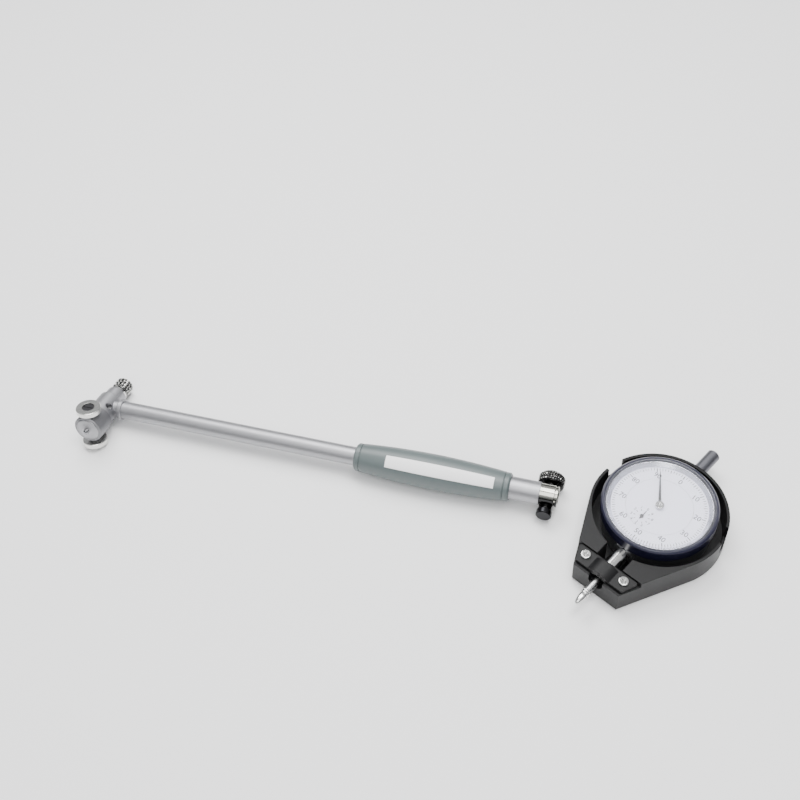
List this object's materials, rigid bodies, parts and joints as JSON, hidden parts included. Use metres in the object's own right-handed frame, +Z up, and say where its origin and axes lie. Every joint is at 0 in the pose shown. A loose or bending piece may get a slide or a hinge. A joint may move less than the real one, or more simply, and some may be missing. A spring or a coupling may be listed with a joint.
{
  "type": "dial bore gauge",
  "caption": "Two-point bore gauge for small bores, lying beside its dial indicator in a guard: sprung head with guide rollers, tube, grip, clamp, dial with counter",
  "frame": {"origin": "on the surface it lies on, under the middle of the dial", "axes": "+X along the holder from its measuring head towards the dial, +Y away from the viewer, +Z up through the dial's face; metres"},
  "size_m": [0.3528, 0.1044, 0.0274],
  "materials": {
    "black_moulding": "fine matt moulded skin",
    "polished_steel": "polished",
    "ground_steel": "ground and lightly brushed",
    "spring_steel": "drawn wire",
    "brass": "turned and stamped",
    "dark_bezel": "dark satin paint",
    "case_metal": "die cast, satin",
    "dial_enamel": "white enamel",
    "silver_ring": "bright turned",
    "clear_cover": "clear and polished",
    "black_hand": "black paint",
    "satin_chrome": "satin chrome",
    "dark_chrome": "dark chrome",
    "grip_plastic": "moulded, satin",
    "strip_white": "bare white film",
    "carbide": "ground"
  },
  "bodies": {
    "base": {"guard_shell": "black_moulding", "strap_clamp": "black_moulding", "strap_screws": "polished_steel", "indicator_case": "case_metal", "back_cover": "case_metal", "back_screws": "ground_steel", "stem": "polished_steel", "upper_bush": "ground_steel", "spindle_cap": "satin_chrome", "middle_plate": "brass", "upper_plate": "brass", "plate_screws": "ground_steel", "plate_pillars": "brass", "centre_dial": "dial_enamel", "return_spring": "spring_steel", "hairspring": "spring_steel", "head_body": "satin_chrome", "nose_bush": "satin_chrome", "crank_pin": "polished_steel", "bridge_spring": "spring_steel", "anvil_washer": "polished_steel", "tube_ring": "satin_chrome", "tube": "satin_chrome", "rod_guide_front": "brass", "rod_guide_rear": "brass", "rod_spring": "spring_steel", "grip_sleeve": "grip_plastic", "name_strip": "strip_white", "neck_tube": "satin_chrome", "clamp_collar": "satin_chrome"},
    "spindle_group": {"spindle": "ground_steel", "contact_point": "polished_steel", "guide_pin": "ground_steel"},
    "counter_group": {"rack_pinion": "brass", "small_pointer": "black_hand"},
    "pointer_group": {"centre_pinion": "ground_steel", "main_pointer": "black_hand"},
    "backlash_group": {"backlash_gear": "brass"},
    "bezel_group": {"bezel": "dark_bezel", "dial_face": "dial_enamel", "reflector_ring": "silver_ring", "crystal": "clear_cover"},
    "plunger_group": {"contact_plunger": "ground_steel", "contact_tip": "carbide"},
    "crank_group": {"bell_crank": "ground_steel"},
    "rod_group": {"push_rod": "ground_steel"},
    "bridge_group": {"centring_bridge": "satin_chrome", "roller_screws": "ground_steel"},
    "upper_roller_group": {"upper_roller": "polished_steel"},
    "lower_roller_group": {"lower_roller": "polished_steel"},
    "nut_group": {"anvil_lock_nut": "satin_chrome"},
    "thumb_group": {"thumb_nut": "satin_chrome"},
    "cotter_group": {"clamp_cotter": "dark_chrome"}
  },
  "joints": [
    {"name": "spindle_slide", "type": "slide", "parent": "base", "child": "spindle_group", "axis": [0.4741, 0.8805, 0], "range_m": [0, 0.01], "deforming": ["return_spring"]},
    {"name": "counter_turn", "type": "hinge", "parent": "base", "child": "counter_group", "pos_m": [-0.00778, -0.00769, 0.015], "axis": [0, 0, 1], "range_deg": [0, 360]},
    {"name": "pointer_turn", "type": "hinge", "parent": "base", "child": "pointer_group", "pos_m": [0, 0, 0.015], "axis": [0, 0, -1], "range_deg": [0, 3600]},
    {"name": "backlash_turn", "type": "hinge", "parent": "base", "child": "backlash_group", "pos_m": [0.00778, 0.00769, 0.015], "axis": [0, 0, 1], "range_deg": [0, 360], "deforming": ["hairspring"]},
    {"name": "bezel_turn", "type": "hinge", "parent": "base", "child": "bezel_group", "pos_m": [0, 0, 0.018], "axis": [0, 0, 1], "continuous": true},
    {"name": "plunger_slide", "type": "slide", "parent": "base", "child": "plunger_group", "axis": [0.0189, 0.9731, -0.2295], "range_m": [0, 0.0016]},
    {"name": "crank_turn", "type": "hinge", "parent": "base", "child": "crank_group", "pos_m": [-0.3048, -0.00026, 0.011], "axis": [0.0003, -0.2296, -0.9733], "range_deg": [0, 18.33]},
    {"name": "rod_slide", "type": "slide", "parent": "base", "child": "rod_group", "axis": [0.9998, -0.0183, 0.0046], "range_m": [0, 0.0016], "deforming": ["rod_spring"]},
    {"name": "bridge_slide", "type": "slide", "parent": "base", "child": "bridge_group", "axis": [0.0189, 0.9731, -0.2295], "range_m": [0, 0.003], "deforming": ["bridge_spring"]},
    {"name": "upper_roller_turn", "type": "hinge", "parent": "bridge_group", "child": "upper_roller_group", "pos_m": [-0.31002, -0.00932, 0.02443], "axis": [-0.0003, 0.2296, 0.9733], "continuous": true},
    {"name": "lower_roller_turn", "type": "hinge", "parent": "bridge_group", "child": "lower_roller_group", "pos_m": [-0.31002, -0.01437, 0.00302], "axis": [-0.0003, 0.2296, 0.9733], "continuous": true},
    {"name": "lock_nut_turn", "type": "hinge", "parent": "base", "child": "nut_group", "pos_m": [-0.30938, 0.02124, 0.00592], "axis": [0.0189, 0.9731, -0.2295], "range_deg": [0, 720]},
    {"name": "thumb_nut_turn", "type": "hinge", "parent": "base", "child": "thumb_group", "pos_m": [-0.05566, 0.00905, 0.0068], "axis": [0.0183, 0.9998, 0], "range_deg": [0, 360]},
    {"name": "cotter_slide", "type": "slide", "parent": "base", "child": "cotter_group", "axis": [0.0183, 0.9998, 0], "range_m": [0, 0.0005]}
  ],
  "couplings": [
    {"joint": "counter_turn", "follows": "spindle_slide", "rad_per_m": 628.32},
    {"joint": "pointer_turn", "follows": "spindle_slide", "rad_per_m": 6283.2},
    {"joint": "backlash_turn", "follows": "spindle_slide", "rad_per_m": 628.32},
    {"joint": "crank_turn", "follows": "plunger_slide", "rad_per_m": 200},
    {"joint": "rod_slide", "follows": "plunger_slide", "ratio": 1},
    {"joint": "thumb_nut_turn", "follows": "cotter_slide", "rad_per_m": 12566}
  ]
}
